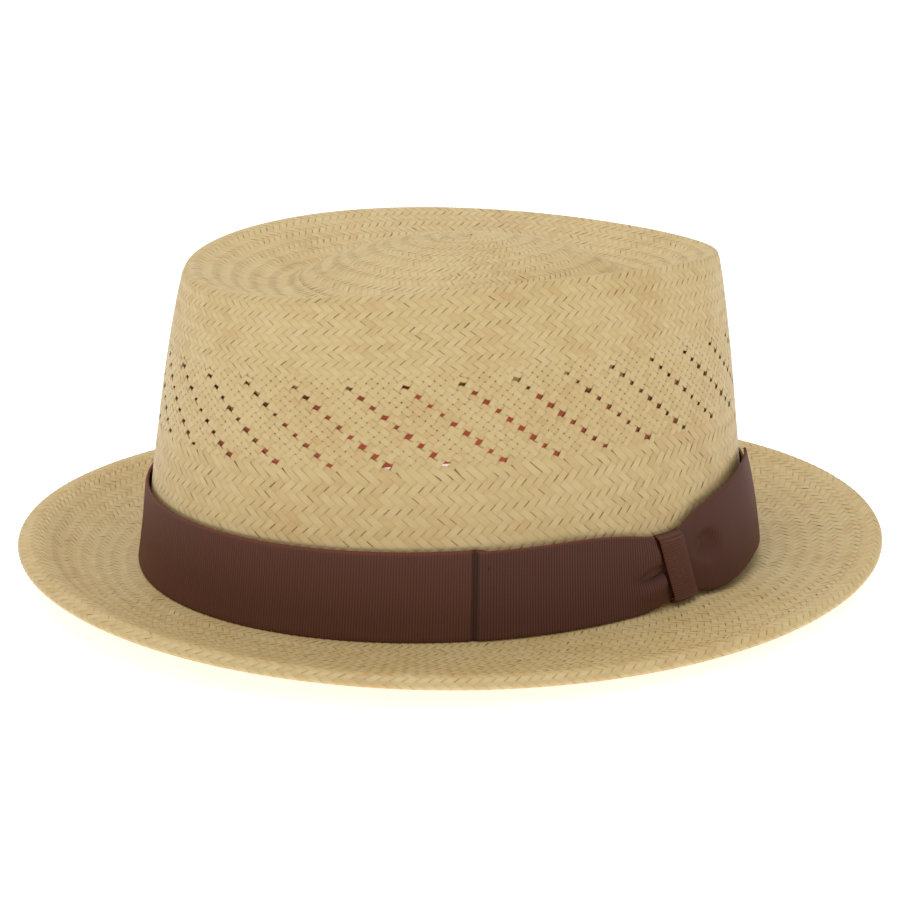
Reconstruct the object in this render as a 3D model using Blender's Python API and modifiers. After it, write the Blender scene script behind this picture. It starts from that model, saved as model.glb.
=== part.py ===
"""A straw porkpie hat.

One woven shell makes the brim, the crown wall and the teardrop tip. A ribbon with a bow goes round the crown's
foot and a sweatband lines its inside. Metres, +Z up. The hat rests on the floor on the flat ring round its head
opening, with its front towards -X and the wearer's left side towards -Y. Angles go round +Z from the back, +X.
"""

import math

import bmesh
import bpy
from mathutils import Matrix, Vector

# Straw shell: its wall, and the hem that is its edge folded double
STRAW = 0.0020
HEM_THICKNESS = 0.0031
HEM_WIDTH = 0.0070

# Brim: an oval whose edge curls up a little, most of all at the front
BRIM_LENGTH = 0.2960
BRIM_WIDTH = 0.2546
BRIM_LIFT = 0.0070
BRIM_LIFT_FRONT = 0.0022
BRIM_LIFT_ENDS = 0.0018
REST_RING = 0.0090

# Crown: an oval foot, drawn in to the teardrop line of its rim
CROWN_X = -0.0030
FOOT_LENGTH = 0.2090
FOOT_WIDTH = 0.1700
RIM_LENGTH = 0.1777
RIM_WIDTH = 0.1322
RIM_TAPER = 0.26
RIM_BACK = 0.0035
RIM_HEIGHT = 0.1032
RIM_SADDLE = 0.0028

# Tip: a valley inside the rim round a raised middle
VALLEY_HEIGHT = 0.0930
TIP_HEIGHT = 0.1080
TIP_X = 0.0045

# Air gaps: slanted lines of slots through the crown wall
VENT_LINES = 32
VENTS_A_LINE = 4
VENT_FIRST_ANGLE = math.radians(262)
VENT_TOP = 0.0755
VENT_BOTTOM = 0.0535
VENT_DRIFT = 0.0275
VENT_LENGTH = 0.0048
VENT_WIDTH = 0.0015

# Ribbon, bow and sweatband
CLEARANCE = 0.0003
RIBBON = 0.0010
BAND_HEIGHT = 0.0274
LEATHER = 0.0010
SWEATBAND_FOOT = 0.0008
SWEATBAND_HEIGHT = 0.0330
KNOT_ANGLE = math.radians(302.5)
KNOT_WIDTH = 0.0095
KNOT_HEIGHT = 0.0245
KNOT_LEAN = 0.0050
KNOT_BEND = 0.0012
BOW_FLAT_LENGTH = 0.0700
BOW_TAIL_LENGTH = 0.0560
BOW_NECK_SHARE = 0.72
TAIL_PUFF = 0.0052
TAIL_FLARE = 0.35

# Resolution
SEGMENTS = 64
RIBBON_STEP = 0.0075
KNOT_COLUMNS = 4
SHARP_ANGLE = math.radians(40)
PROBE_ANGLE = math.radians(0.5)
WALK_STEPS = 48
GIRTH_STEPS = 360

# rise: share of the height from brim to rim. draw: share of the way in from the foot oval to the rim line
WALL_SECTIONS = [
    dict(rise=0.00, draw=0.00),
    dict(rise=0.10, draw=0.09),
    dict(rise=0.28, draw=0.215),
    dict(rise=0.48, draw=0.38),
    dict(rise=0.68, draw=0.56),
    dict(rise=0.86, draw=0.755),
    dict(rise=0.945, draw=0.865),
    dict(rise=0.985, draw=0.935),
]

# spread: share of the rim line's distance from the tip's centre. edge: share of the rim's height over the valley.
# dome: share of the raised middle's height over the valley
TIP_SECTIONS = [
    dict(spread=0.20, edge=0.00, dome=0.93),
    dict(spread=0.38, edge=0.00, dome=0.71),
    dict(spread=0.54, edge=0.00, dome=0.35),
    dict(spread=0.67, edge=0.02, dome=0.02),
    dict(spread=0.78, edge=0.25, dome=0.00),
    dict(spread=0.91, edge=0.72, dome=0.00),
    dict(spread=0.975, edge=0.95, dome=0.00),
    dict(spread=1.00, edge=1.00, dome=0.00),
]

# out: share of the way from the rest ring to the hem. lift: share of the hem's lift
BRIM_SECTIONS = [
    dict(out=0.36, lift=0.20),
    dict(out=0.70, lift=0.56),
]

# out: share of the hem's width. over: share of the hem's thickness over its underside. The path goes over the hem,
# round its edge and back under it
HEM_SECTIONS = [
    dict(out=0.20, over=0.92),
    dict(out=0.58, over=1.00),
    dict(out=0.90, over=0.80),
    dict(out=1.00, over=0.42),
    dict(out=0.94, over=0.06),
    dict(out=0.80, over=0.00),
]

# along: share of the bow's flat end from its free edge to the knot. pinch: share of the way in from the band's
# height to the height of the neck
FLAT_SECTIONS = [
    dict(along=0.00, pinch=0.00),
    dict(along=0.35, pinch=0.00),
    dict(along=0.65, pinch=0.05),
    dict(along=0.82, pinch=0.35),
    dict(along=0.93, pinch=1.00),
    dict(along=1.00, pinch=1.00),
]

# along: share of the tail's length from the knot. puff: share of its puff, or below 0 of a ribbon's thickness in
# towards the band. pinch: as above. The path goes out along the top layer, round the fold and back under it
TAIL_SECTIONS = [
    dict(along=0.00, puff=0.00, pinch=1.00),
    dict(along=0.14, puff=0.00, pinch=0.90),
    dict(along=0.26, puff=0.75, pinch=0.30),
    dict(along=0.42, puff=1.00, pinch=0.05),
    dict(along=0.66, puff=0.90, pinch=0.00),
    dict(along=0.88, puff=0.60, pinch=0.00),
    dict(along=0.97, puff=0.42, pinch=0.00),
    dict(along=1.00, puff=0.12, pinch=0.00),
    dict(along=0.97, puff=-1.00, pinch=0.00),
    dict(along=0.70, puff=-1.00, pinch=0.00),
    dict(along=0.34, puff=-1.00, pinch=0.20),
]

STRAW_COLOUR = (0.66, 0.49, 0.24, 1.0)
RIBBON_COLOUR = (0.105, 0.042, 0.028, 1.0)
LEATHER_COLOUR = (0.38, 0.07, 0.025, 1.0)


def mix(start, end, share):
    return start + (end - start) * share


def oval(angle, length, width, centre_x):
    return Vector((centre_x + length / 2 * math.cos(angle), width / 2 * math.sin(angle), 0.0))


def foot_line(angle):
    point = oval(angle, FOOT_LENGTH, FOOT_WIDTH, CROWN_X)
    point.z = STRAW
    return point


def rim_line(angle):
    """The teardrop that runs along the top of the crown's edge, pointed at the back and lowest at both ends."""
    point = oval(angle, RIM_LENGTH, RIM_WIDTH, CROWN_X + RIM_BACK)
    point.y *= 1 - RIM_TAPER * math.cos(angle)
    point.z = RIM_HEIGHT - RIM_SADDLE * math.cos(2 * angle)
    return point


def brim_line(angle, inset, over):
    """A line round the brim at a distance inside its edge and a height over the underside of its hem."""
    edge = oval(angle, BRIM_LENGTH, BRIM_WIDTH, 0.0)
    inward = foot_line(angle) - edge
    inward.z = 0.0
    point = edge + inward.normalized() * inset
    point.z = BRIM_LIFT - BRIM_LIFT_FRONT * math.cos(angle) + BRIM_LIFT_ENDS * math.cos(2 * angle) + over
    return point


def wall_point(angle, rise, draw):
    foot = foot_line(angle)
    rim = rim_line(angle)
    point = mix(foot, rim, draw)
    point.z = mix(foot.z, rim.z, rise)
    return point


def crown_at(angle, height):
    """A point of the crown wall's outer face at a height over the floor."""
    foot_z = foot_line(angle).z
    rise = (height - foot_z) / (rim_line(angle).z - foot_z)
    for low, high in zip(WALL_SECTIONS, WALL_SECTIONS[1:]):
        if rise <= high["rise"]:
            break
    share = (rise - low["rise"]) / (high["rise"] - low["rise"])
    return wall_point(angle, rise, mix(low["draw"], high["draw"], share))


def outward(angle, height):
    """The level direction that points straight out of the crown wall."""
    along = crown_at(angle + PROBE_ANGLE, height) - crown_at(angle - PROBE_ANGLE, height)
    return Vector((along.y, -along.x, 0.0)).normalized()


def on_crown(angle, height, offset):
    return crown_at(angle, height) + outward(angle, height) * offset


def walk(angle, distance, height):
    """The angle reached by going a distance round the crown wall."""
    for _ in range(WALK_STEPS):
        reach = (crown_at(angle + PROBE_ANGLE, height) - crown_at(angle - PROBE_ANGLE, height)).length
        angle += distance / WALK_STEPS * 2 * PROBE_ANGLE / reach
    return angle


def girth(height):
    points = [crown_at(2 * math.pi * i / GIRTH_STEPS, height) for i in range(GIRTH_STEPS)]
    return sum((points[i] - points[i - 1]).length for i in range(GIRTH_STEPS))


def straw_section(angle):
    """One section of the shell's outer face, from the tip out to the groove inside the hem."""
    centre = Vector((TIP_X, 0.0, VALLEY_HEIGHT))
    rim = rim_line(angle)
    section = []
    for row in TIP_SECTIONS:
        point = mix(centre, rim, row["spread"])
        point.z = mix(VALLEY_HEIGHT, rim.z, row["edge"]) + (TIP_HEIGHT - VALLEY_HEIGHT) * row["dome"]
        section.append(point)
    for row in reversed(WALL_SECTIONS):
        section.append(wall_point(angle, row["rise"], row["draw"]))
    foot = foot_line(angle)
    groove = brim_line(angle, HEM_WIDTH, STRAW)
    level = Vector((groove.x - foot.x, groove.y - foot.y, 0.0)).normalized()
    ring = foot + level * REST_RING
    section.append(ring)
    for row in BRIM_SECTIONS:
        point = mix(ring, groove, row["out"])
        point.z = mix(ring.z, groove.z, row["lift"])
        section.append(point)
    section.append(groove)
    return section


def hem_section(angle):
    section = []
    for row in HEM_SECTIONS:
        section.append(brim_line(angle, HEM_WIDTH * (1 - row["out"]), HEM_THICKNESS * row["over"]))
    return section


def inner_rows(rings):
    """The shell's inner face: each ring of the outer face set back by the straw's thickness, square to the wall."""
    inner = []
    for row, ring in enumerate(rings):
        set_back = []
        for i, point in enumerate(ring):
            round_it = ring[(i + 1) % len(ring)] - ring[i - 1]
            before = rings[max(row - 1, 0)][i]
            after = rings[min(row + 1, len(rings) - 1)][i]
            normals = [(end - start).cross(round_it).normalized() for start, end in ((before, point), (point, after))]
            normals = [normal for normal in normals if normal.length > 0]
            square = sum(normals, Vector()).normalized()
            set_back.append(point - square * STRAW / square.dot(normals[0]))
        inner.append(set_back)
    return inner


def collection(name):
    made = bpy.data.collections.new(name)
    bpy.context.scene.collection.children.link(made)
    return made


def material(name, colour, roughness):
    made = bpy.data.materials.new(name)
    made.use_nodes = True
    surface = made.node_tree.nodes["Principled BSDF"]
    surface.inputs["Base Color"].default_value = colour
    surface.inputs["Roughness"].default_value = roughness
    surface.inputs["Metallic"].default_value = 0.0
    return made


def add_object(name, shape, home, finish):
    mesh = bpy.data.meshes.new(name)
    shape.to_mesh(mesh)
    shape.free()
    mesh.shade_smooth()
    mesh.set_sharp_from_angle(angle=SHARP_ANGLE)
    made = bpy.data.objects.new(name, mesh)
    if finish:
        mesh.materials.append(finish)
    home.objects.link(made)
    return made


def solidify(target, thickness):
    """Gives an open surface its thickness, on the side that its faces point away from."""
    wall = target.modifiers.new("wall", "SOLIDIFY")
    wall.thickness = thickness
    wall.offset = -1.0
    wall.use_even_offset = True


def build_straw_body(home, cutters, finish):
    """Lofts the closed section of the shell round the hat: out over the top, round the hem and back inside."""
    angles = [2 * math.pi * i / SEGMENTS for i in range(SEGMENTS)]
    outer = list(zip(*(straw_section(angle) for angle in angles)))
    hem = list(zip(*(hem_section(angle) for angle in angles)))
    rows = outer + hem + inner_rows(outer)[::-1]
    shape = bmesh.new()
    tip = shape.verts.new((TIP_X, 0.0, TIP_HEIGHT))
    under_tip = shape.verts.new((TIP_X, 0.0, TIP_HEIGHT - STRAW))
    rings = [[shape.verts.new(point) for point in row] for row in rows]
    for i in range(SEGMENTS):
        after = (i + 1) % SEGMENTS
        shape.faces.new((tip, rings[0][i], rings[0][after]))
        for near, far in zip(rings, rings[1:]):
            shape.faces.new((near[i], far[i], far[after], near[after]))
        shape.faces.new((rings[-1][i], under_tip, rings[-1][after]))
    body = add_object("straw_body", shape, home, finish)
    gaps = body.modifiers.new("air_gaps", "BOOLEAN")
    gaps.operation = "DIFFERENCE"
    gaps.object = build_vent_cutters(cutters)
    body.modifiers.new("even_shading", "WEIGHTED_NORMAL")


def build_vent_cutters(cutters):
    """A slot for each air gap, in lines that drift round the crown as they go down."""
    middle = (VENT_TOP + VENT_BOTTOM) / 2
    spacing = girth(middle) / VENT_LINES
    through = 4 * STRAW
    shape = bmesh.new()
    for line in range(VENT_LINES):
        start = walk(VENT_FIRST_ANGLE, spacing * line, middle)
        for gap in range(VENTS_A_LINE):
            share = (gap + 0.5) / VENTS_A_LINE
            height = mix(VENT_TOP, VENT_BOTTOM, share)
            angle = walk(start, VENT_DRIFT * share, height)
            out = outward(angle, height)
            side = Vector((0, 0, 1)).cross(out)
            along = (side * VENT_DRIFT + Vector((0, 0, VENT_BOTTOM - VENT_TOP))).normalized()
            turn = Matrix((along, out.cross(along), out)).transposed().to_4x4()
            place = Matrix.Translation(crown_at(angle, height)) @ turn
            size = Matrix.Diagonal((VENT_LENGTH, VENT_WIDTH, through, 1.0))
            bmesh.ops.create_cube(shape, size=1.0, matrix=place @ size)
    made = add_object("vent_cutters", shape, cutters, None)
    made.hide_render = True
    made.display_type = "WIRE"
    return made


def build_strip(name, columns, closed, thickness, home, finish):
    """A ribbon through columns of points, each from its lower edge to its upper one. The points lie on its face."""
    shape = bmesh.new()
    grid = [[shape.verts.new(point) for point in column] for column in columns]
    pairs = list(zip(grid, grid[1:]))
    if closed:
        pairs.append((grid[-1], grid[0]))
    for left, right in pairs:
        for i in range(len(left) - 1):
            shape.faces.new((left[i], right[i], right[i + 1], left[i + 1]))
    solidify(add_object(name, shape, home, finish), thickness)


def upright(angle, low, high, offset, top_offset=None):
    """A column of three points up the crown wall, at an offset from it that may differ at its top."""
    top_offset = offset if top_offset is None else top_offset
    return [on_crown(angle, mix(low, high, share), mix(offset, top_offset, share)) for share in (0.0, 0.5, 1.0)]


def build_hat_band(home, finish):
    low = STRAW + CLEARANCE
    face = CLEARANCE + RIBBON
    angles = [2 * math.pi * i / SEGMENTS for i in range(SEGMENTS)]
    columns = [upright(angle, low, low + BAND_HEIGHT, face) for angle in angles]
    build_strip("hat_band", columns, True, RIBBON, home, finish)


def build_sweatband(home, finish):
    """The leather inside the crown. Its face is the inner one, so its columns run the other way round."""
    face = -(STRAW + 2 * CLEARANCE + LEATHER)
    angles = [-2 * math.pi * i / SEGMENTS for i in range(SEGMENTS)]
    columns = [upright(angle, SWEATBAND_FOOT, SWEATBAND_FOOT + SWEATBAND_HEIGHT, face) for angle in angles]
    build_strip("sweatband", columns, True, LEATHER, home, finish)


def pinched(pinch):
    """The ribbon's lower and upper edge where it is gathered towards the knot by a share."""
    low = STRAW + CLEARANCE
    neck = KNOT_HEIGHT * BOW_NECK_SHARE
    neck_low = low + (KNOT_HEIGHT - neck) / 2
    return mix(low, neck_low, pinch), mix(low + BAND_HEIGHT, neck_low + neck, pinch)


def refined(rows, length):
    """The rows of a table with more between them, so that a ribbon of this length bends with the crown."""
    finer = [rows[0]]
    for start, end in zip(rows, rows[1:]):
        pieces = math.ceil(abs(end["along"] - start["along"]) * length / RIBBON_STEP)
        for i in range(pieces):
            share = (i + 1) / pieces
            finer.append({key: mix(start[key], end[key], share) for key in start})
    return finer


def build_bow_flat(home, finish):
    """The end of the bow that lies flat on the band, from its free edge to under the knot."""
    face = 2 * (CLEARANCE + RIBBON)
    columns = []
    for row in refined(FLAT_SECTIONS, BOW_FLAT_LENGTH):
        angle = walk(KNOT_ANGLE, -BOW_FLAT_LENGTH * (1 - row["along"]) - CLEARANCE, BAND_HEIGHT / 2)
        columns.append(upright(angle, *pinched(row["pinch"]), face))
    build_strip("bow_flat", columns, False, RIBBON, home, finish)


def build_bow_tail(home, finish):
    """The loop behind the knot, which stands off the band, folds round at its end and comes back under itself."""
    face = 2 * (CLEARANCE + RIBBON)
    columns = []
    for row in refined(TAIL_SECTIONS, BOW_TAIL_LENGTH):
        angle = walk(KNOT_ANGLE, BOW_TAIL_LENGTH * row["along"] + CLEARANCE, BAND_HEIGHT / 2)
        if row["puff"] > 0:
            lower, upper = TAIL_PUFF * row["puff"], TAIL_PUFF * row["puff"] * TAIL_FLARE
        else:
            lower = upper = RIBBON * row["puff"]
        columns.append(upright(angle, *pinched(row["pinch"]), face + lower, face + upper))
    build_strip("bow_tail", columns, False, RIBBON, home, finish)


def build_bow_knot(home, finish):
    """The keeper: a narrow ribbon round the bow's neck, which leans back as it goes down."""
    low = STRAW + CLEARANCE
    base = 2 * CLEARANCE + RIBBON
    face = base + RIBBON + CLEARANCE + RIBBON
    profile = [(0.0, base), (0.0, face - KNOT_BEND), (KNOT_BEND, face)]
    profile += [(KNOT_HEIGHT - KNOT_BEND, face), (KNOT_HEIGHT, face - KNOT_BEND), (KNOT_HEIGHT, base)]
    columns = []
    for i in range(KNOT_COLUMNS):
        share = i / (KNOT_COLUMNS - 1) - 0.5
        column = []
        for up, offset in profile:
            lean = KNOT_LEAN * (0.5 - up / KNOT_HEIGHT)
            angle = walk(KNOT_ANGLE, KNOT_WIDTH * share + lean, BAND_HEIGHT / 2)
            column.append(on_crown(angle, low + up, offset))
        columns.append(column)
    build_strip("bow_knot", columns, False, RIBBON, home, finish)


def main():
    for old in list(bpy.data.objects):
        bpy.data.objects.remove(old)
    home = collection("porkpie_hat")
    cutters = collection("cutters")
    straw = material("straw", STRAW_COLOUR, 0.6)
    ribbon = material("grosgrain_ribbon", RIBBON_COLOUR, 0.7)
    leather = material("sweatband_leather", LEATHER_COLOUR, 0.5)
    build_straw_body(home, cutters, straw)
    build_hat_band(home, ribbon)
    build_bow_flat(home, ribbon)
    build_bow_knot(home, ribbon)
    build_bow_tail(home, ribbon)
    build_sweatband(home, leather)


main()
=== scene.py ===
# %% [markdown]
# # A straw porkpie hat
# The hat is one woven straw shell with a ribbon and bow round its crown and a leather sweatband inside. The
# solids that carry it come from model.glb. This lesson weaves the straw, ribs the ribbon and finishes the
# leather over them. It works in metres, with +Z up, the hat's front towards -X and its bow towards -Y.

# %% Load the imported solids
import math

import bpy
import numpy as np
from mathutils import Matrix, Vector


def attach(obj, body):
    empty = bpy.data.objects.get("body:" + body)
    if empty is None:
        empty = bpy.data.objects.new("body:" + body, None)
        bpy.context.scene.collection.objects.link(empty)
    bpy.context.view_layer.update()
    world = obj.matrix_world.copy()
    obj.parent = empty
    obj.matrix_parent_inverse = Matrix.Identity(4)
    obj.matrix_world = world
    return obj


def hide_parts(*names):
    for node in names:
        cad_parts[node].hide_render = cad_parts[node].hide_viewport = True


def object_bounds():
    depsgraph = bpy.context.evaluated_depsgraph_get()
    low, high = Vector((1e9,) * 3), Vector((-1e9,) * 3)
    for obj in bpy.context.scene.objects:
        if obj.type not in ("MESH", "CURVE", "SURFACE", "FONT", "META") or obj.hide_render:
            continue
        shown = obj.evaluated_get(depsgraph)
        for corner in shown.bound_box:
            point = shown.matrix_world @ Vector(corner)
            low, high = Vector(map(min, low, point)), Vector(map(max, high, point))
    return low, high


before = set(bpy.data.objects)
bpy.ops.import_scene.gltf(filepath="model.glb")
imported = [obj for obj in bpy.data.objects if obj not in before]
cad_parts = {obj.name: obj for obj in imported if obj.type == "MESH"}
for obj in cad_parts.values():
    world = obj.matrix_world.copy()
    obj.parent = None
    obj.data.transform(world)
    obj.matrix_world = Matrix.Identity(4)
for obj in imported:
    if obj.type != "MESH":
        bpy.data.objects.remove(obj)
cad_low, cad_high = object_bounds()
MM = 0.001
cad_size = [round((high - low) / MM, 1) for low, high in zip(cad_low, cad_high)]
print("solids:", sorted(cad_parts), "box in mm:", cad_size)

# %% [markdown]
# ## The blocked shape
# A straw hat is woven flat and then steamed over a wooden block, so its shape is one smooth skin. The skin
# here is a stack of rings, from the middle of the tip out over the rim, down the wall and along the brim to
# its folded edge. The same few sizes as the solids' own give those rings, so the weave lies exactly on what
# carries it.

# %% Sizes of the block
STRAW = 2.0 * MM
HEM_THICKNESS = 3.1 * MM
HEM_WIDTH = 7.0 * MM
BRIM_LENGTH = 296.0 * MM
BRIM_WIDTH = 254.6 * MM
BRIM_LIFT = 7.0 * MM
BRIM_LIFT_FRONT = 2.2 * MM
BRIM_LIFT_ENDS = 1.8 * MM
REST_RING = 9.0 * MM
CROWN_X = -3.0 * MM
FOOT_LENGTH = 209.0 * MM
FOOT_WIDTH = 170.0 * MM
RIM_LENGTH = 177.7 * MM
RIM_WIDTH = 132.2 * MM
RIM_TAPER = 0.26
RIM_BACK = 3.5 * MM
RIM_HEIGHT = 103.2 * MM
RIM_SADDLE = 2.8 * MM
VALLEY_HEIGHT = 93.0 * MM
TIP_HEIGHT = 108.0 * MM
TIP_X = 4.5 * MM

# spread: share of the way from the tip's middle to the rim. edge and dome: shares of the rim's and the
# middle's height
TIP_SECTIONS = [
    dict(spread=0.10, edge=0.00, dome=0.985),
    dict(spread=0.20, edge=0.00, dome=0.93),
    dict(spread=0.38, edge=0.00, dome=0.71),
    dict(spread=0.54, edge=0.00, dome=0.35),
    dict(spread=0.67, edge=0.02, dome=0.02),
    dict(spread=0.78, edge=0.25, dome=0.00),
    dict(spread=0.91, edge=0.72, dome=0.00),
    dict(spread=0.975, edge=0.95, dome=0.00),
    dict(spread=1.00, edge=1.00, dome=0.00),
]
# rise: share of the height from brim to rim. draw: share of the way in from the foot oval to the rim line
WALL_SECTIONS = [
    dict(rise=0.985, draw=0.935),
    dict(rise=0.945, draw=0.865),
    dict(rise=0.86, draw=0.755),
    dict(rise=0.68, draw=0.56),
    dict(rise=0.48, draw=0.38),
    dict(rise=0.28, draw=0.215),
    dict(rise=0.10, draw=0.09),
    dict(rise=0.00, draw=0.00),
]
# out: share of the way from the rest ring to the hem. lift: share of the hem's lift
BRIM_SECTIONS = [
    dict(out=0.36, lift=0.20),
    dict(out=0.70, lift=0.56),
]
# out: share of the hem's width. over: share of the hem's thickness over its underside
HEM_SECTIONS = [
    dict(out=0.20, over=0.82),
    dict(out=0.58, over=1.00),
    dict(out=0.90, over=0.80),
    dict(out=1.00, over=0.42),
    dict(out=0.94, over=0.06),
    dict(out=0.80, over=0.00),
    dict(out=0.40, over=0.00),
    dict(out=0.05, over=0.04),
]


def mix(start, end, share):
    return start + (end - start) * share


def oval(angle, length, width, centre_x, height):
    lengthwise = centre_x + length / 2 * np.cos(angle)
    return np.stack([lengthwise, width / 2 * np.sin(angle), height + 0 * angle], axis=-1)


def foot_line(angle):
    return oval(angle, FOOT_LENGTH, FOOT_WIDTH, CROWN_X, STRAW)


def rim_line(angle):
    points = oval(angle, RIM_LENGTH, RIM_WIDTH, CROWN_X + RIM_BACK, RIM_HEIGHT)
    points[..., 1] *= 1 - RIM_TAPER * np.cos(angle)
    points[..., 2] -= RIM_SADDLE * np.cos(2 * angle)
    return points


def level_unit(vectors):
    flat = vectors * [1.0, 1.0, 0.0]
    return flat / np.linalg.norm(flat, axis=-1, keepdims=True)


def brim_line(angle, inset, over):
    edge = oval(angle, BRIM_LENGTH, BRIM_WIDTH, 0.0, 0.0)
    points = edge + level_unit(foot_line(angle) - edge) * inset
    points[..., 2] = BRIM_LIFT - BRIM_LIFT_FRONT * np.cos(angle) + BRIM_LIFT_ENDS * np.cos(2 * angle) + over
    return points


def block_rings(angle):
    """Every ring of the skin at these angles, from the tip's middle to the underside of the hem."""
    rim, foot = rim_line(angle), foot_line(angle)
    centre = np.array([TIP_X, 0.0, VALLEY_HEIGHT]) + 0 * rim
    rings = [centre + [0, 0, TIP_HEIGHT - VALLEY_HEIGHT]]
    for row in TIP_SECTIONS:
        ring = mix(centre, rim, row["spread"])
        dome = (TIP_HEIGHT - VALLEY_HEIGHT) * row["dome"]
        ring[..., 2] = mix(VALLEY_HEIGHT, rim[..., 2], row["edge"]) + dome
        rings.append(ring)
    for row in WALL_SECTIONS:
        ring = mix(foot, rim, row["draw"])
        ring[..., 2] = mix(foot[..., 2], rim[..., 2], row["rise"])
        rings.append(ring)
    groove = brim_line(angle, HEM_WIDTH, STRAW)
    rest = foot + level_unit(groove - foot) * REST_RING
    rings.append(rest)
    for row in BRIM_SECTIONS:
        ring = mix(rest, groove, row["out"])
        ring[..., 2] = mix(rest[..., 2], groove[..., 2], row["lift"])
        rings.append(ring)
    rings.append(groove)
    for row in HEM_SECTIONS:
        rings.append(brim_line(angle, HEM_WIDTH * (1 - row["out"]), HEM_THICKNESS * row["over"]))
    return np.array(rings)


RIM_RING = len(TIP_SECTIONS)
FOOT_RING = RIM_RING + len(WALL_SECTIONS)
GROOVE_RING = FOOT_RING + len(BRIM_SECTIONS) + 2
print("rings on the block:", len(block_rings(np.zeros(1))))

# %% [markdown]
# ## A map of the skin
# Everything woven or sewn is placed by two numbers: how far round the hat it is, from 0 to 1, and how far
# along the skin it is from the tip's middle, in metres. A fine table of points holds the skin, so placing a
# hundred thousand points is one lookup. The steps round are equal lengths at mid height, because straws are
# spaced evenly.

# %% Build the map
SKIN_STEP = 0.4 * MM
SKIN_COLUMNS = 960
ARC_SAMPLES = 7200


def even_angles(columns):
    """Angles that divide the crown's middle line into equal lengths, starting at the back."""
    fine = np.linspace(0, 2 * math.pi, ARC_SAMPLES + 1)
    middle = mix(foot_line(fine), rim_line(fine), 0.5)
    length = np.concatenate([[0], np.cumsum(np.linalg.norm(np.diff(middle, axis=0), axis=1))])
    return np.interp(np.arange(columns) / columns * length[-1], length, fine)


def ease(start, end, leaving, arriving, reach, share):
    """A smooth step from start to end that leaves and arrives at the given slopes."""
    return (
        start * (1 + 2 * share) * (1 - share) ** 2
        + leaving * reach * share * (1 - share) ** 2
        + end * share**2 * (3 - 2 * share)
        + arriving * reach * share**2 * (share - 1)
    )


def curve_through(rings, corner, step):
    """A smooth path through the rings, sharp only at the corner: its stations, points and ring stations."""
    gaps = np.linalg.norm(np.diff(rings, axis=0), axis=2).mean(axis=1)
    stations = np.concatenate([[0], np.cumsum(gaps)])
    slopes = np.diff(rings, axis=0) / gaps[:, None, None]
    weight = (gaps[1:] / (gaps[1:] + gaps[:-1]))[:, None, None]
    inner = slopes[:-1] * weight + slopes[1:] * (1 - weight)
    leaving = np.concatenate([slopes[:1] * [1, 1, 0], inner, slopes[-1:]])
    arriving = leaving.copy()
    arriving[corner] = slopes[corner - 1]
    leaving[corner] = slopes[corner]
    along = np.arange(0, stations[-1], step)
    part = np.clip(np.searchsorted(stations, along, side="right") - 1, 0, len(gaps) - 1)
    share = ((along - stations[part]) / gaps[part])[:, None, None]
    reach = gaps[part][:, None, None]
    points = ease(rings[part], rings[part + 1], leaving[part], arriving[part + 1], reach, share)
    return along, points, stations


def unit(vectors):
    return vectors / np.maximum(np.linalg.norm(vectors, axis=-1, keepdims=True), 1e-12)


skin_angles = even_angles(SKIN_COLUMNS)
skin_along, skin_points, stations = curve_through(block_rings(skin_angles), FOOT_RING, SKIN_STEP)
round_it = np.roll(skin_points, -1, axis=1) - np.roll(skin_points, 1, axis=1)
skin_normals = unit(np.cross(np.gradient(skin_points, axis=0), round_it))
skin_normals[0] = [0, 0, 1]
AT_RIM, AT_FOOT = stations[RIM_RING], stations[FOOT_RING]
AT_GROOVE, AT_END = stations[GROOVE_RING], skin_along[-1]


def place(around, along, lift):
    """Points of the skin, lifted off it along its normal. The three arrays have one shape."""
    around, along, lift = np.broadcast_arrays(around, along, lift)
    column = (around % 1.0) * SKIN_COLUMNS
    row = np.clip(along / SKIN_STEP, 0, len(skin_along) - 1.001)
    left, top = np.floor(column).astype(int), np.floor(row).astype(int)
    across, down = (column - left)[..., None], (row - top)[..., None]
    left %= SKIN_COLUMNS
    right = (left + 1) % SKIN_COLUMNS

    def look_up(table):
        upper = mix(table[top, left], table[top, right], across)
        lower = mix(table[top + 1, left], table[top + 1, right], across)
        return mix(upper, lower, down)

    return look_up(skin_points) + unit(look_up(skin_normals)) * lift[..., None]


def ring_length(along):
    ring = place(np.arange(SKIN_COLUMNS) / SKIN_COLUMNS, np.full(SKIN_COLUMNS, along), np.zeros(SKIN_COLUMNS))
    return np.linalg.norm(ring - np.roll(ring, 1, axis=0), axis=1).sum()


for name, along in (("rim", AT_RIM), ("foot", AT_FOOT), ("groove", AT_GROOVE), ("end", AT_END)):
    print(f"{name}: {along / MM:.1f} mm along the skin, {ring_length(along) / MM:.0f} mm round")

# %% [markdown]
# ## Colour and nodes
# Colours are written the way a paint chart or a web page gives them, as sRGB hex, and one function turns
# them into the linear values that light is added up in. One small helper adds a shader node with its
# settings and its links. Straw and ribbon are both fibrous, so two more helpers give them streaks, fine
# relief and painted shade in their folds and creases.

# %% Material helpers
# a Mix node has sockets of one name for each kind of value, so its colour ones are taken by number
MIX_SHARE, MIX_A, MIX_B, MIX_RESULT = 0, 6, 7, 2


def linear(hex_colour):
    channels = [int(hex_colour[i : i + 2], 16) / 255 for i in (1, 3, 5)]
    return tuple(c / 12.92 if c <= 0.04045 else ((c + 0.055) / 1.055) ** 2.4 for c in channels) + (1.0,)


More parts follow.
